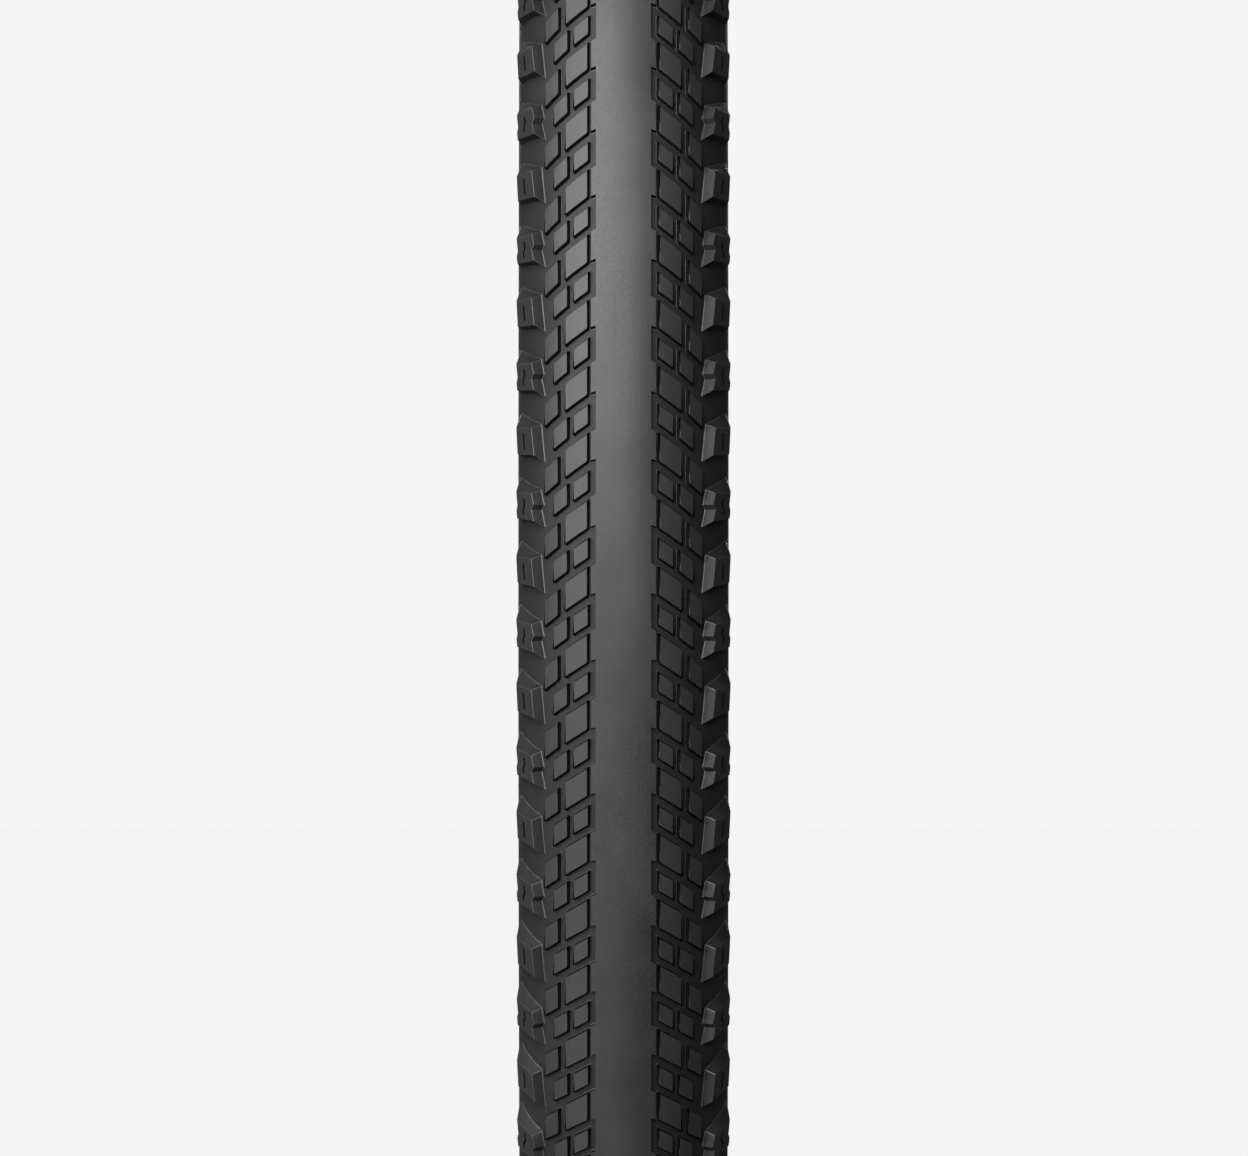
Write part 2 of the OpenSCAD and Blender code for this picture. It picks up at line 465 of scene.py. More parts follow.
def finish_piece(bm: bmesh.types.BMesh, name: str, materials: Sequence[bpy.types.Material],
                 nodes: Sequence[str], crisp: float = 40.0) -> bpy.types.Object:
    """Turns a mesh into a finished piece that rides on the tyre.

    Args:
        bm: The mesh, in metres. It is freed.
        name: The piece's name.
        materials: Its finishes, in the order of the faces' material numbers.
        nodes: The CAD nodes that it stands for.
        crisp: Edges that turn by more than this many degrees stay crisp.

    Returns:
        The new object.
    """
    bmesh.ops.recalc_face_normals(bm, faces=bm.faces[:])
    mark_edges(bm, crisp)
    mesh = bpy.data.meshes.new(name)
    bm.to_mesh(mesh)
    bm.free()
    for material in materials:
        mesh.materials.append(material)
    piece = bpy.data.objects.new(name, mesh)
    bpy.context.scene.collection.objects.link(piece)
    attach(piece, "root")
    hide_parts(*nodes)
    log.info("%s: %d faces", name, len(mesh.polygons))
    return piece


def repeat_round(bm: bmesh.types.BMesh, copies: int) -> None:
    """Repeats everything in a mesh evenly round the axle, until there are copies of it."""
    bmesh.ops.spin(
        bm, geom=bm.verts[:] + bm.edges[:] + bm.faces[:], cent=(0, 0, 0), axis=AXLE, dvec=(0, 0, 0),
        angle=2 * math.pi * (copies - 1) / copies, steps=copies - 1, use_merge=False, use_duplicate=True)


@dataclass(frozen=True)
class Rim:
    """The profile of a raised edge, in millimetres: a fillet at the foot, a drafted wall and a soft top edge.

    Each pair is how far the step pulls in and how far it lifts.
    """

    fillet: tuple[float, float] = (0.09, 0.06)
    wall: tuple[float, float] = (0.32, 0.73)
    top_edge: tuple[float, float] = (0.04, 0.04)

    def lift(self, bm: bmesh.types.BMesh, faces: list[bmesh.types.BMFace], unit: float) -> None:
        """Raises faces with this profile round them, painting shade on the wall and a highlight on fillet and
        top edge.

        Args:
            bm: The mesh.
            faces: The faces that end up on top.
            unit: Size of a millimetre in the mesh's own unit.
        """
        for step in (self.fillet, self.wall, self.top_edge):
            ring = bmesh.ops.inset_region(
                bm, faces=faces, thickness=step[0] * unit, depth=step[1] * unit, use_even_offset=True,
                use_boundary=True)["faces"]
            # The wall ring gets near-black painted shade, the fillet and top edge rings a lighter painted
            # highlight
            for face in ring:
                face.material_index = WALL_FINISH if step is self.wall else EDGE_FINISH


@dataclass(frozen=True)
class RingPiece:
    """A piece that is one outline revolved about the axle."""

    name: str
    outline: Outline
    crisp: float = 40.0

    def build(self, section: Section, material: bpy.types.Material, slot: str,
              nodes: Sequence[str]) -> bpy.types.Object:
        """Revolves the outline and finishes the piece.

        Args:
            section: The tyre's section.
            material: The piece's finish.
            slot: The record's material slot. Not used.
            nodes: The CAD nodes that the piece stands for.

        Returns:
            The new object.
        """
        bm = bmesh.new()
        points = [bm.verts.new(Vector((radius, offset, 0.0)) * MM) for radius, offset in self.outline]
        edges = [bm.edges.new((a, b)) for a, b in zip(points, points[1:] + points[:1])]
        bmesh.ops.spin(
            bm, geom=points + edges, cent=(0, 0, 0), axis=AXLE, dvec=(0, 0, 0),
            angle=2 * math.pi, steps=RING_STEPS, use_merge=True, use_duplicate=False)
        bmesh.ops.remove_doubles(bm, verts=bm.verts[:], dist=1e-7)
        unroll(bm, section)
        return finish_piece(bm, self.name, [material], nodes, self.crisp)


def mirrored(outline: Outline, side: Side) -> Outline:
    """An outline drawn for the right side, on the given side."""
    return [(radius, side.value * offset) for radius, offset in outline]


# ---------------------------------------------------------------------------------------------------------
# The tread


@dataclass
class CentreTread:
    """The smooth band on the crown, whose edges step in and out with the tread pattern.

    The band is wide beside each large block and narrow beside each small one.
    """

    section: Section
    finishes: Finishes
    wide: float = 6.36
    narrow: float = 5.37
    step_narrow_u: float = -2.6
    step_wide_u: float = -2.86
    slant_narrow_u: float = -8.6
    slant_wide_u: float = -9.12
    odd_step: float = 0.18
    odd_slant: float = -0.37
    seat_angle: float = 13.5
    strips: tuple[float, ...] = (-4.4, -2.6, -0.9, 0.9, 2.6, 4.4)
    rim: Rim = Rim(wall=(0.22, 0.7))
    skirt: float = 0.28

    def edge(self) -> list[tuple[float, float]]:
        """The band's right edge over two pitches, as s and u, from the top down."""
        points = [(self.wide, 0.0)]
        for pitch, step, slant in ((0, 0.0, 0.0), (1, self.odd_step, self.odd_slant)):
            top = -pitch * self.section.pitch
            points += [
                (self.wide, top + self.step_wide_u + step),
                (self.narrow, top + self.step_narrow_u + step),
                (self.narrow, top + self.slant_narrow_u + slant),
                (self.wide, top + self.slant_wide_u + slant),
            ]
        points.append((self.wide, -2 * self.section.pitch))
        return points

    def flat_unit(self) -> bmesh.types.BMesh:
        """Two pitches of the band's foot, flat: s along X and u along Y, in millimetres."""
        bm = bmesh.new()
        right = [(s + self.skirt, u) for s, u in self.edge()]
        left = [(-s, u) for s, u in reversed(right)]
        bm.faces.new([bm.verts.new((s, u, 0.0)) for s, u in left + right])
        cuts = [((s, 0, 0), (1, 0, 0)) for s in self.strips]
        cuts += [((0, -i * self.section.pitch / 2, 0), (0, 1, 0)) for i in (1, 2, 3)]
        for spot, normal in cuts:
            bmesh.ops.bisect_plane(
                bm, geom=bm.verts[:] + bm.edges[:] + bm.faces[:], dist=1e-5, plane_co=spot, plane_no=normal)
        return bm

    def tuck(self, bm: bmesh.types.BMesh) -> None:
        """Closes the band underneath, down to the undertread.

        Args:
            bm: The band in place, open along the feet of its two walls.
        """
        rims = [edge for edge in bm.edges if edge.is_boundary]
        seat = self.section.polar(self.seat_angle, self.section.net(self.seat_angle) - 0.02)
        bottom = self.section.polar(self.seat_angle, self.section.undertread_r)
        for radius, offset in (seat, bottom):
            made = bmesh.ops.extrude_edge_only(bm, edges=rims)["geom"]
            rims = [item for item in made if isinstance(item, bmesh.types.BMEdge)]
            for vert in (item for item in made if isinstance(item, bmesh.types.BMVert)):
                turn = math.atan2(vert.co.z, vert.co.x)
                side = math.copysign(1.0, vert.co.y)
                vert.co = Vector((radius * math.cos(turn), side * offset, radius * math.sin(turn))) * MM
        bmesh.ops.bridge_loops(bm, edges=rims)

    def build(self) -> bpy.types.Object:
        """Lays the band on the crown, raises it and closes it."""
        bm = self.flat_unit()
        for vert in bm.verts:
            s, u = vert.co.x, vert.co.y
            side = Side.LEFT if s < 0 else Side.RIGHT
            vert.co = self.section.place(self.section.angle_at(abs(s)), 0.0, u, side)
        repeat_round(bm, PAIRS)
        bmesh.ops.remove_doubles(bm, verts=bm.verts[:], dist=1e-6)
        bmesh.ops.recalc_face_normals(bm, faces=bm.faces[:])
        outwards = bm.faces[:][0]
        if outwards.normal.dot(outwards.calc_center_median()) < 0:
            bmesh.ops.reverse_faces(bm, faces=bm.faces[:])
        self.rim.lift(bm, bm.faces[:], MM)
        self.tuck(bm)
        # The band's walls take near-black painted shade, its fillets and top edges a lighter painted
        # highlight
        return finish_piece(
            bm, "centre_tread_band", [self.finishes.band, self.finishes.groove, self.finishes.edge],
            ["centre_tread"], crisp=MOULDED_CRISP)


@dataclass
class ShoulderTread:
    """The net of tread rubber on one shoulder, which the blocks and knobs stand on."""

    section: Section
    finishes: Finishes
    side: Side
    seat_angle: float = 13.5
    belt_edge: float = 58.0
    outer_edge: float = 78.0

    def build(self) -> bpy.types.Object:
        """Revolves the net's section."""
        section = self.section
        outline = section.arc(self.seat_angle, self.outer_edge, section.net, 1.5)
        outline += section.arc(self.outer_edge, self.belt_edge, lambda angle: section.turnup_r)
        outline += section.arc(self.belt_edge, self.seat_angle, lambda angle: section.undertread_r)
        ring = RingPiece(f"shoulder_tread_net_{self.side.word}", mirrored(outline, self.side))
        return ring.build(section, self.finishes.net, "tread_rubber", [f"shoulder_tread_{self.side.word}"])


@dataclass(frozen=True)
class BlockShape:
    """The top outline of one kind of tread block on the flat pattern, and where its odd pitches differ."""

    name: str
    s_in: float
    s_out: float
    u_low: float
    u_high: float
    odd_low: float = 0.0


@dataclass
class TreadBlocks:
    """All blocks of one kind on one side: raised diamonds with drafted walls and filleted feet."""

    section: Section
    finishes: Finishes
    shape: BlockShape
    side: Side
    slope: float = 0.61
    skirt: float = 0.32
    corner: float = 0.28
    sink: float = 0.03
    rim: Rim = Rim()

    def foot_corner(self, vert: bmesh.types.BMVert, low: float) -> Vector:
        """Where a corner of the unit square goes on the block's foot.

        Args:
            vert: A corner of a square round the origin.
            low: The lower end of the block's inner side.

        Returns:
            The corner on the flat pattern.
        """
        outer, upper = vert.co.x > 0, vert.co.y > 0
        s = self.shape.s_out + self.skirt if outer else self.shape.s_in - self.skirt
        along = self.skirt * math.hypot(1.0, self.slope)
        u = self.shape.u_high + along if upper else low - along
        return Vector((s, u - self.slope * (s - self.shape.s_in), -self.sink))

    def block(self, bm: bmesh.types.BMesh, pitch: int) -> None:
        """Adds one block to a mesh.

        Args:
            bm: The mesh, in metres, on the tyre.
            pitch: 0 for an even pitch of the pattern or 1 for an odd one.
        """
        low = self.shape.u_low + (self.shape.odd_low if pitch else 0.0)
        one = bmesh.new()
        bmesh.ops.create_grid(one, x_segments=1, y_segments=1, size=1.0)
        for vert in one.verts:
            vert.co = self.foot_corner(vert, low)
        bmesh.ops.bevel(
            one, geom=one.verts[:], offset=self.corner, offset_type="OFFSET", segments=1, profile=0.5,
            affect="VERTICES", material=-1)
        self.rim.lift(one, one.faces[:], 1.0)
        bmesh.ops.holes_fill(one, edges=[edge for edge in one.edges if edge.is_boundary], sides=0)
        for third in (1, 2):
            cut = self.shape.s_in + third / 3 * (self.shape.s_out - self.shape.s_in)
            bmesh.ops.bisect_plane(
                one, geom=one.verts[:] + one.edges[:] + one.faces[:], dist=1e-5,
                plane_co=(cut, 0, 0), plane_no=(1, 0, 0))
        for vert in one.verts:
            s, u, h = vert.co
            up = u - pitch * self.section.pitch
            vert.co = self.section.place(self.section.angle_at(s), h, up, self.side)
        join(bm, one)

    def build(self) -> bpy.types.Object:
        """Repeats the block round the tyre, in pairs of an even and an odd pitch."""
        bm = bmesh.new()
        for pitch in (0, 1):
            self.block(bm, pitch)
        repeat_round(bm, PAIRS)
        # The blocks' walls take near-black painted shade, their fillets and top edges a lighter painted
        # highlight
        return finish_piece(
            bm, f"{self.shape.name}_moulded_{self.side.word}",
            [self.finishes.tread, self.finishes.groove, self.finishes.edge],
            [f"{self.shape.name}_{self.side.word}"], crisp=MOULDED_CRISP)


def join(bm: bmesh.types.BMesh, other: bmesh.types.BMesh) -> None:
    """Adds everything in another mesh to a mesh, and frees the other one."""
    mesh = bpy.data.meshes.new("join")
    other.to_mesh(mesh)
    other.free()
    bm.from_mesh(mesh)
    bpy.data.meshes.remove(mesh)


# ---------------------------------------------------------------------------------------------------------
# The side knobs


@dataclass(frozen=True)
class KnobColumn:
    """A line along a knob: its angle of the section at the knob's middle, and its height."""

    angle: float
    height: float


@dataclass(frozen=True)
class KnobRow:
    """A line across a knob: how far up its inner foot, ridge and outer edge are, and its share of height."""

    foot: float
    ridge: float
    edge: float
    rise: float = 1.0
    half: int = 0


class Line(IntEnum):
    """The numbers of a knob's lengthwise lines, and of the crosswise line at the top of its ramp."""

    RAMP_TOP = 2
    RIDGE = 2
    SIPE = 3
    OUTER_EDGE = 5


class Facet(IntEnum):
    """The finishes of a knob's faces, in the order of its materials."""

    TOP = 0
    # The inner wall, ramp and lower flank take the net's darker, duller rubber: painted shade
    FLANK = 1
    # The feet and bevelled corners take a lighter rubber: painted highlight
    EDGE = 2
    # The sipe takes near-black rubber: painted shade
    GROOVE = 3


@dataclass
class SideKnobs:
    """All knobs of one kind on one side: a slanted inner wall, a siped top and a ramp on the upper end."""

    section: Section
    finishes: Finishes
    side: Side
    notched: bool
    ridge_height: float = 2.0
    sipe_height: float = 1.43
    edge_height: float = 1.45
    turn: float = 0.4
    middle: float = 1.9
    notched_turn: float = 0.8
    half_middles: tuple[float, float] = (3.27, 0.12)
    foot_angle: float = 47.35
    ridge_angle: float = 49.6
    edge_angle: float = 68.3
    outer_foot_angle: float = 76.3
    sipe_angles: tuple[float, float] = (58.7, 60.3)
    sipe_ends: tuple[float, float] = (3.6, 0.4)
    sipe_depth: float = 0.9
    jog: tuple[float, float] = (2.15, 1.25)
    sink: float = 0.04
    edge_width: float = 0.075

    @property
    def kind(self) -> str:
        """The word for this kind of knob, as in the CAD nodes' names."""
        return "notched_knobs" if self.notched else "plain_knobs"

    def columns(self) -> list[KnobColumn]:
        """The knob's lengthwise lines, from its inner foot to its outer foot."""
        heel = self.foot_angle + 0.03 * (self.ridge_angle - self.foot_angle)
        return [
            KnobColumn(self.foot_angle - 0.45, -self.sink),
            KnobColumn(heel, 0.07 * self.ridge_height),
            KnobColumn(self.ridge_angle, self.ridge_height),
            KnobColumn(self.sipe_angles[0], self.sipe_height),
            KnobColumn(self.sipe_angles[1], self.sipe_height),
            KnobColumn(self.edge_angle, self.edge_height),
            KnobColumn(self.outer_foot_angle, -self.sink),
        ]

    def rows(self) -> list[KnobRow]:
        """The knob's crosswise lines, from its ramp's foot down to its lower foot."""
        sipe_top, sipe_low = self.sipe_ends
        rows = [
            KnobRow(5.35, 5.75, 8.3, rise=0.0),
            KnobRow(5.24, 5.45, 7.95, rise=0.1),
            KnobRow(5.13, 4.39, 5.05),
            KnobRow(sipe_top + 0.3, sipe_top, sipe_top),
        ]
        if self.notched:
            before, after = self.jog
            rows += [KnobRow(before, before, before + 0.25), KnobRow(after, after, after + 0.1, half=1)]
        half = 1 if self.notched else 0
        rows += [
            KnobRow(sipe_low - 0.2, sipe_low, sipe_low, half=half),
            KnobRow(-2.16, -1.02, -0.17, half=half),
            KnobRow(-2.3, -1.5, -0.62, rise=0.0, half=half),
        ]
        return rows

    def up_at(self, row: KnobRow, angle: float) -> float:
        """How far up a row is at an angle of the section."""
        if angle <= self.ridge_angle:
            share = (angle - self.foot_angle) / (self.ridge_angle - self.foot_angle)
            return row.foot + max(0.0, share) * (row.ridge - row.foot)
        share = (angle - self.ridge_angle) / (self.edge_angle - self.ridge_angle)
        return row.ridge + min(1.0, share) * (row.edge - row.ridge)

    def turned(self, row: KnobRow, up: float) -> float:
        """Degrees of the section by which a row's points stand further out, because the knob is turned."""
        if not self.notched:
            return self.turn * (up - self.middle)
        return self.notched_turn * (up - self.half_middles[row.half])

    def knob(self) -> bmesh.types.BMesh:
        """One knob in place on the tyre, closed."""
        columns, rows = self.columns(), self.rows()
        bm = bmesh.new()
        bmesh.ops.create_grid(bm, x_segments=len(columns) - 1, y_segments=len(rows) - 1, size=1.0)
        spots = {}
        for vert in bm.verts:
            across = round((vert.co.x + 1) / 2 * (len(columns) - 1))
            down = round((1 - vert.co.y) / 2 * (len(rows) - 1))
            spots[vert] = (across, down)
        sipe = []
        for face in bm.faces:
            facet = self.facet({spots[vert] for vert in face.verts}, len(rows))
            face.material_index = facet
            if facet is Facet.GROOVE:
                sipe.append(face)
        corners = [
            edge for edge in bm.edges if self.is_corner({spots[vert] for vert in edge.verts}, len(rows))]
        for vert, (across, down) in spots.items():
            column, row = columns[across], rows[down]
            up = self.up_at(row, column.angle)
            height = column.height * row.rise if row.rise > 0 else -self.sink
            vert.co = self.section.place(column.angle + self.turned(row, up), height, up, self.side)
        self.cut_sipe(bm, sipe)
        # Bevelled corners take the lighter rubber as a painted highlight
        bmesh.ops.bevel(
            bm, geom=corners, offset=self.edge_width * MM, offset_type="OFFSET", segments=1, profile=0.5,
            affect="EDGES", material=Facet.EDGE)
        return bm

    def facet(self, corners: set[tuple[int, int]], row_count: int) -> Facet:
        """The finish of the face with these corners, given as column and row numbers."""
        across = min(corner[0] for corner in corners)
        down = min(corner[1] for corner in corners)
        if across == Line.SIPE and Line.RAMP_TOP < down <= row_count - 4:
            return Facet.GROOVE
        if across == 0 or down == 0:
            return Facet.EDGE
        if across == 1 or down in (1, row_count - 2):
            return Facet.FLANK
        return Facet.TOP

    def is_corner(self, ends: set[tuple[int, int]], row_count: int) -> bool:
        """Whether the edge between these ends, given as column and row numbers, is a corner of the knob."""
        columns = {end[0] for end in ends}
        rows = {end[1] for end in ends}
        last = row_count - 2
        lengthwise = (
            columns in ({Line.RIDGE}, {Line.OUTER_EDGE}) and min(rows) >= Line.RAMP_TOP and max(rows) <= last)
        crosswise = (
            rows in ({Line.RAMP_TOP}, {last}) and min(columns) >= 1 and max(columns) <= Line.OUTER_EDGE)
        return lengthwise or crosswise

    def cut_sipe(self, bm: bmesh.types.BMesh, faces: list[bmesh.types.BMFace]) -> None:
        """Sinks the sipe's faces into the knob and closes the knob underneath.

        Args:
            bm: The knob.
            faces: The sipe's faces.
        """
        bm.normal_update()
        outwards = sum((face.normal for face in faces), Vector()).normalized()
        if outwards.dot(faces[0].calc_center_median()) < 0:
            bmesh.ops.reverse_faces(bm, faces=bm.faces[:])
            outwards.negate()
        made = bmesh.ops.extrude_face_region(bm, geom=faces)["geom"]
        floor = [item for item in made if isinstance(item, bmesh.types.BMVert)]
        bmesh.ops.translate(bm, verts=floor, vec=-outwards * self.sipe_depth * MM)
        bmesh.ops.delete(bm, geom=[face for face in faces if face.is_valid], context="FACES_ONLY")
        bmesh.ops.holes_fill(bm, edges=[edge for edge in bm.edges if edge.is_boundary], sides=0)

    def build(self) -> bpy.types.Object:
        """Repeats the knob at every second pitch."""
        bm = self.knob()
        if self.notched:
            turn = Matrix.Rotation(2 * math.pi / PITCHES, 3, AXLE)
            bmesh.ops.rotate(bm, verts=bm.verts[:], cent=(0, 0, 0), matrix=turn)
        repeat_round(bm, PAIRS)
        # Flanks take the net's rubber as painted shade, corners a lighter painted highlight, the sipe
        # near-black painted shade
        return finish_piece(
            bm, f"{self.kind}_moulded_{self.side.word}",
            [self.finishes.knob, self.finishes.net, self.finishes.edge, self.finishes.groove],
            [f"{self.kind}_{self.side.word}"], crisp=MOULDED_CRISP)


# ---------------------------------------------------------------------------------------------------------
# Sidewalls, beads and the inside


@dataclass
class Sidewall:
    """The thin rubber of one side, with moulded rings and the fitting rib beside the rim."""

    section: Section
    finishes: Finishes
    side: Side
    start: float = 78.0
    end: float = 130.0
    rib_angle: float = 122.0
    rib_height: float = 0.3
    rib_width: float = 1.4
    ring_angles: tuple[float, ...] = (86.0, 112.0)
    ring_height: float = 0.12
    ring_width: float = 0.8

    def surface(self, angle: float) -> float:
        """Radius of the sidewall's surface at an angle, with its rings and rib as soft ridges."""
        rise = self.section.net(angle)
        ridges = [(self.rib_angle, self.rib_height, self.rib_width)]
        ridges += [(ring, self.ring_height, self.ring_width) for ring in self.ring_angles]
        for middle, height, width in ridges:
            rise += height * max(0.0, 1 - abs(angle - middle) / width)
        return rise

    def build(self) -> bpy.types.Object:
        """Revolves the sidewall's section."""
        section = self.section
        outline = section.arc(self.start, self.end, self.surface, 0.4)
        outline += section.arc(self.end, self.start, lambda angle: section.turnup_r)
        ring = RingPiece(f"sidewall_skin_{self.side.word}", mirrored(outline, self.side), crisp=60.0)
        return ring.build(
            section, self.finishes.sidewall, "sidewall_rubber", [f"sidewall_{self.side.word}"])


@dataclass
class BeadSide:
    """The chafer that wraps one bead, and the cord core and rubber filler inside it."""

    section: Section
    finishes: Finishes
    side: Side
    seat_r: float = 311.0
    half_gap: float = 11.3
    core_r: float = 1.2
    wrap_r: float = 1.6
    toe_r: float = 1.8
    sidewall_end: float = 130.0

    def round_core(self, angle: float, radius: float) -> tuple[float, float]:
        """A point at a distance from the bead core's centre; 90 degrees is outboard, 0 away from the axle."""
        rho = self.section.ply_r + self.core_r
        middle = self.section.polar(180.0 - math.degrees(math.asin(self.half_gap / rho)), rho)
        turn = math.radians(angle)
        return middle[0] + radius * math.cos(turn), middle[1] + radius * math.sin(turn)

    def outline(self) -> Outline:
        """The chafer's section: down the outside of the bead, under its seat and toe, and over its core."""
        section, seat = self.section, self.seat_r
        inner_end = -math.degrees(math.asin(self.half_gap / (section.ply_r + self.core_r)))
        outside = [
            section.polar(self.sidewall_end, section.skin_r),
            section.polar(self.sidewall_end + 3.0, section.skin_r + 0.3),
            (seat + 1.9, self.half_gap + 2.25),
            (seat + 1.3, self.half_gap + 2.15),
            (seat + 0.6, self.half_gap + 2.05),
            (seat + 0.2, self.half_gap + 1.85),
            (seat, self.half_gap + 1.5),
            (seat, self.half_gap - 1.1),
            (seat + 0.15, self.half_gap - 1.45),
            (seat + 0.5, self.half_gap - 1.65),
        ]
        toe = [self.round_core(-115.0 + i * (115.0 + inner_end) / 6, self.toe_r) for i in range(7)]
        core = [self.round_core(inner_end - i * (230.0 + inner_end) / 16, self.wrap_r) for i in range(17)]
        return outside + toe + core + [section.polar(self.sidewall_end, section.turnup_r)]

    def build(self) -> bpy.types.Object:
        """Revolves the chafer, and dresses the core and the filler."""
        word = self.side.word
        dress(f"bead_core_{word}", self.finishes.core)
        dress(f"bead_filler_{word}", self.finishes.base)
        ring = RingPiece(f"chafer_wrap_{word}", mirrored(self.outline(), self.side), crisp=50.0)
        return ring.build(self.section, self.finishes.chafer, "chafer_weave", [f"chafer_{word}"])


@dataclass
class Inside:
    """The air-tight liner, and the layers between it and the tread."""

    section: Section
    finishes: Finishes
    edge_angle: float = 146.3
    step: float = 5.0

    def build(self) -> bpy.types.Object:
        """Revolves the liner, and dresses the casing ply, the puncture belt and the undertread."""
        section, edge = self.section, self.edge_angle
        outline = section.arc(-edge, edge, lambda angle: section.ply_r - 0.4, self.step)
        outline += section.arc(edge, -edge, lambda angle: section.liner_in, self.step)
        dress("casing_ply", self.finishes.ply)
        dress("puncture_belt", self.finishes.belt)
        dress("undertread", self.finishes.base)
        return RingPiece("inner_liner_skin", outline).build(
            section, self.finishes.liner, "liner_rubber", ["inner_liner"])


def dress(node: str, material: bpy.types.Material) -> None:
    """Gives a CAD node that stays its finish."""
    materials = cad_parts[node].data.materials
    materials.clear()
    materials.append(material)
    log.info("%s: carried over", node)


# ---------------------------------------------------------------------------------------------------------
# The studio


@dataclass(frozen=True)
class Softbox:
    """A soft rectangular lamp that faces the tyre's front; azimuth 0 is the camera's and 90 the right."""

    name: str
    azimuth: float
    elevation: float
    width: float
    height: float
    watts: float
    distance: float = 3.0
    aim: tuple[float, float, float] = (0.35, 0.0, 0.0)

    def build(self) -> None:
        """Hangs the lamp."""
        lamp = bpy.data.lights.new(self.name, "AREA")
        lamp.shape = "RECTANGLE"
        lamp.size = self.width
        lamp.size_y = self.height
        lamp.energy = self.watts
        holder = bpy.data.objects.new(self.name, lamp)
        bpy.context.scene.collection.objects.link(holder)
        turn, lift = math.radians(self.azimuth), math.radians(self.elevation)
        away = Vector((math.cos(turn) * math.cos(lift), math.sin(turn) * math.cos(lift), math.sin(lift)))
        holder.location = Vector(self.aim) + away * self.distance
        holder.rotation_euler = away.to_track_quat("Z", "Y").to_euler()
        holder.visible_camera = False


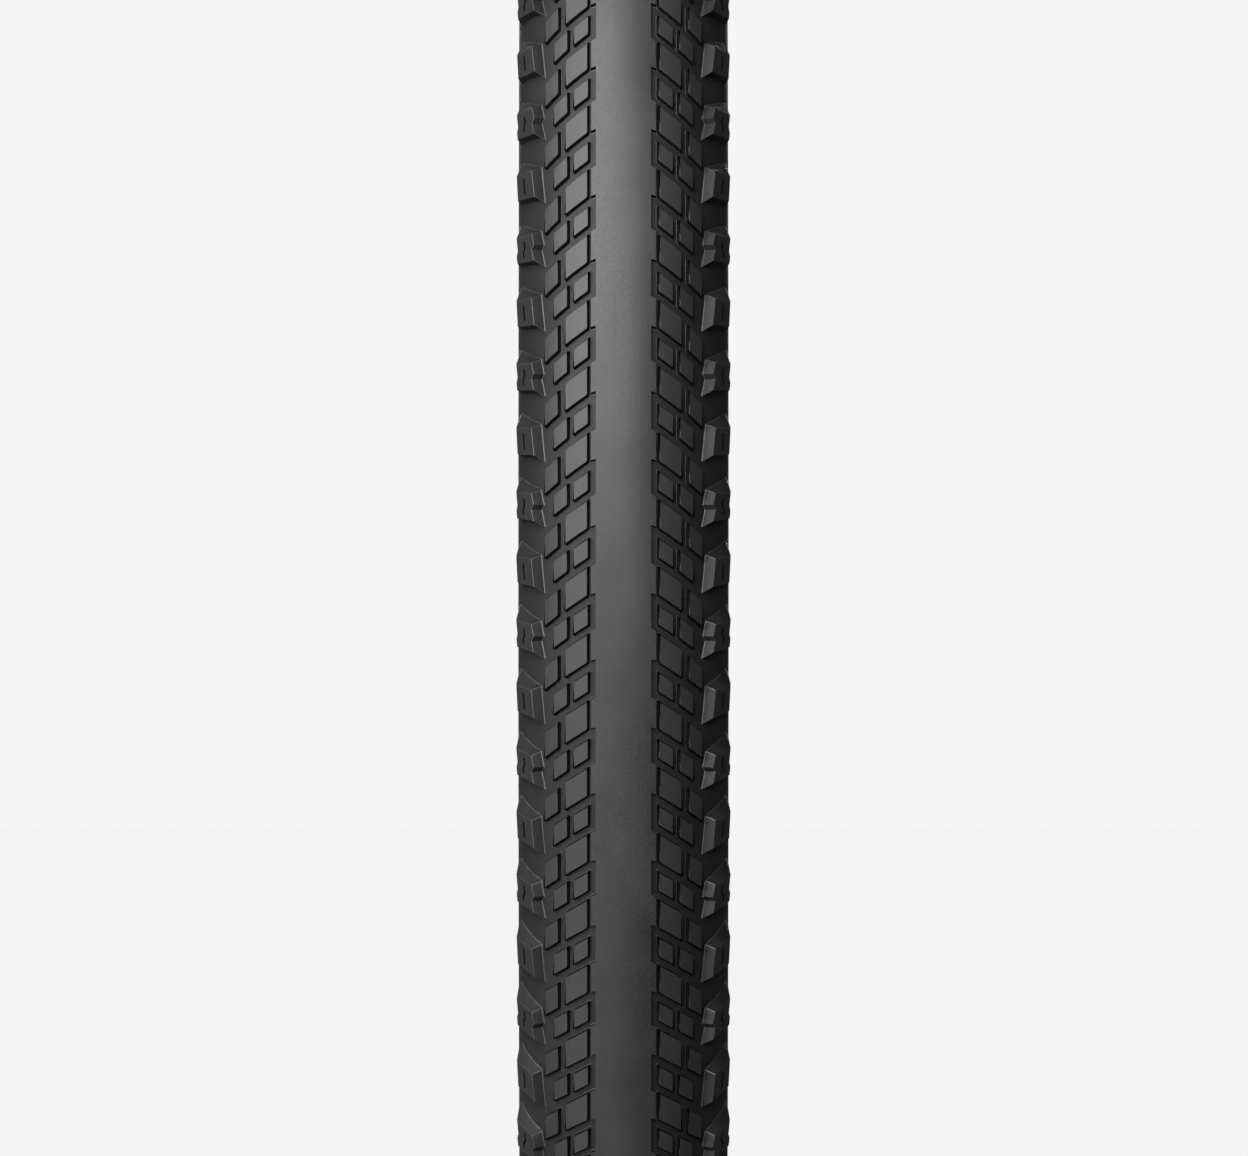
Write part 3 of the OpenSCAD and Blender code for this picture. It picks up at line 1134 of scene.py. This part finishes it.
@dataclass
class Studio:
    """A plain pale studio: the floor, soft lamps, a bright backdrop and the camera."""

    floor_z: float
    floor_radius: float = 12.0
    backdrop: float = 0.913
    fill_above: float = 0.05
    fill_below: float = 0.08
    eye: tuple[float, float, float] = (2.2686, 0.0001, 0.0007)
    lens: float = 293.05
    sensor: float = 36.0
    lamps: tuple[Softbox, ...] = (
        Softbox("key_high", -25.0, 42.0, 0.79, 1.06, 52.0),
        Softbox("key_far_left", -65.0, 20.0, 1.06, 1.06, 52.0),
        Softbox("key_left", -40.0, 20.0, 1.06, 1.06, 46.0),
        Softbox("key_front", -18.0, 20.0, 1.06, 1.06, 24.0),
        Softbox("key_right", 4.0, 20.0, 1.06, 1.06, 48.0),
        Softbox("low_left", -60.0, -40.0, 0.81, 1.06, 11.0),
        Softbox("low_front", -15.0, -40.0, 0.81, 1.06, 9.0),
        Softbox("fill_right", 50.0, 40.0, 0.81, 1.06, 4.0),
        Softbox("fill_left", -60.0, 0.0, 1.06, 1.06, 7.0),
        Softbox("back", 180.0, 20.0, 1.6, 1.6, 110.0, aim=(-0.35, 0.0, 0.0)),
    )

    def lay_floor(self) -> None:
        """Lays a pale disc under the tyre. It takes shadows but throws no light back up."""
        bm = bmesh.new()
        bmesh.ops.create_circle(bm, cap_ends=True, segments=96, radius=self.floor_radius)
        bmesh.ops.translate(bm, verts=bm.verts[:], vec=(0, 0, self.floor_z))
        mesh = bpy.data.meshes.new("floor")
        bm.to_mesh(mesh)
        bm.free()
        material, tree = new_tree("matt_studio_paper")
        shader = add_node(
            tree, "ShaderNodeBsdfPrincipled", {},
            {"Base Color": linear("#2e2e2e"), "Roughness": 0.9, "Specular IOR Level": 0.1,
             "Emission Color": linear("#ffffff"), "Emission Strength": 0.98 * self.backdrop})
        add_node(tree, "ShaderNodeOutputMaterial", {}, {}, {"Surface": shader.outputs[0]})
        mesh.materials.append(material)
        floor = bpy.data.objects.new("floor", mesh)
        bpy.context.scene.collection.objects.link(floor)
        floor.visible_diffuse = False
        floor.visible_glossy = False
        floor.visible_shadow = False

    def light_world(self) -> None:
        """Makes the backdrop bright and lets only a dim fill, stronger from above, fall on the tyre."""
        world = bpy.data.worlds.new("studio")
        world.use_nodes = True
        tree = world.node_tree
        tree.nodes.clear()
        sky = add_node(tree, "ShaderNodeTexCoord").outputs["Generated"]
        height = add_node(tree, "ShaderNodeSeparateXYZ", {}, {}, {0: sky})
        fill = add_node(
            tree, "ShaderNodeMapRange", {},
            {"From Min": -0.4, "From Max": 1.0, "To Min": self.fill_below, "To Max": self.fill_above},
            {"Value": height.outputs["Z"]})
        dim = add_node(tree, "ShaderNodeBackground", {}, {}, {"Strength": fill.outputs[0]})
        bright = add_node(tree, "ShaderNodeBackground", {}, {"Strength": self.backdrop})
        ray = add_node(tree, "ShaderNodeLightPath").outputs["Is Camera Ray"]
        both = add_node(
            tree, "ShaderNodeMixShader", {}, {}, {0: ray, 1: dim.outputs[0], 2: bright.outputs[0]})
        add_node(tree, "ShaderNodeOutputWorld", {}, {}, {"Surface": both.outputs[0]})
        for background in (dim, bright):
            background.inputs["Color"].default_value = (1.0, 1.0, 1.0, 1.0)
        bpy.context.scene.world = world
        bpy.context.scene.view_settings.view_transform = "Standard"

    def set_camera(self) -> None:
        """Stands the camera in front of the tread, level with the axle."""
        data = bpy.data.cameras.new("camera")
        data.lens = self.lens
        data.sensor_width = self.sensor
        data.clip_end = 100.0
        camera = bpy.data.objects.new("camera", data)
        bpy.context.scene.collection.objects.link(camera)
        camera.location = self.eye
        camera.rotation_euler = (math.radians(90), 0.0, math.radians(90))
        bpy.context.scene.camera = camera

    def build(self) -> None:
        """Sets the studio up round the tyre."""
        self.lay_floor()
        self.light_world()
        for lamp in self.lamps:
            lamp.build()
        self.set_camera()


def main() -> None:
    """Builds the tyre's pieces in order, then the studio."""
    logging.basicConfig(level=logging.INFO, format="%(name)s: %(message)s")
    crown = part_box("centre_tread")[1].x / MM
    section = Section(crown_r=crown)
    finishes = Finishes.make()
    CentreTread(section, finishes).build()
    shapes = (
        BlockShape("large_blocks", 6.95, 11.7, -2.65, 2.7),
        BlockShape("small_blocks", 6.8, 9.85, -8.2, -4.55),
        BlockShape("mid_blocks", 11.2, 14.45, -10.8, -6.85),
        BlockShape("outer_blocks", 13.35, 16.8, -6.5, -1.65, odd_low=0.4),
    )
    for side in Side:
        ShoulderTread(section, finishes, side).build()
        for shape in shapes:
            TreadBlocks(section, finishes, shape, side).build()
        for notched in (False, True):
            SideKnobs(section, finishes, side, notched).build()
        Sidewall(section, finishes, side).build()
        BeadSide(section, finishes, side).build()
    Inside(section, finishes).build()
    Studio(floor_z=-crown * MM).build()


if __name__ == "__main__":
    main()
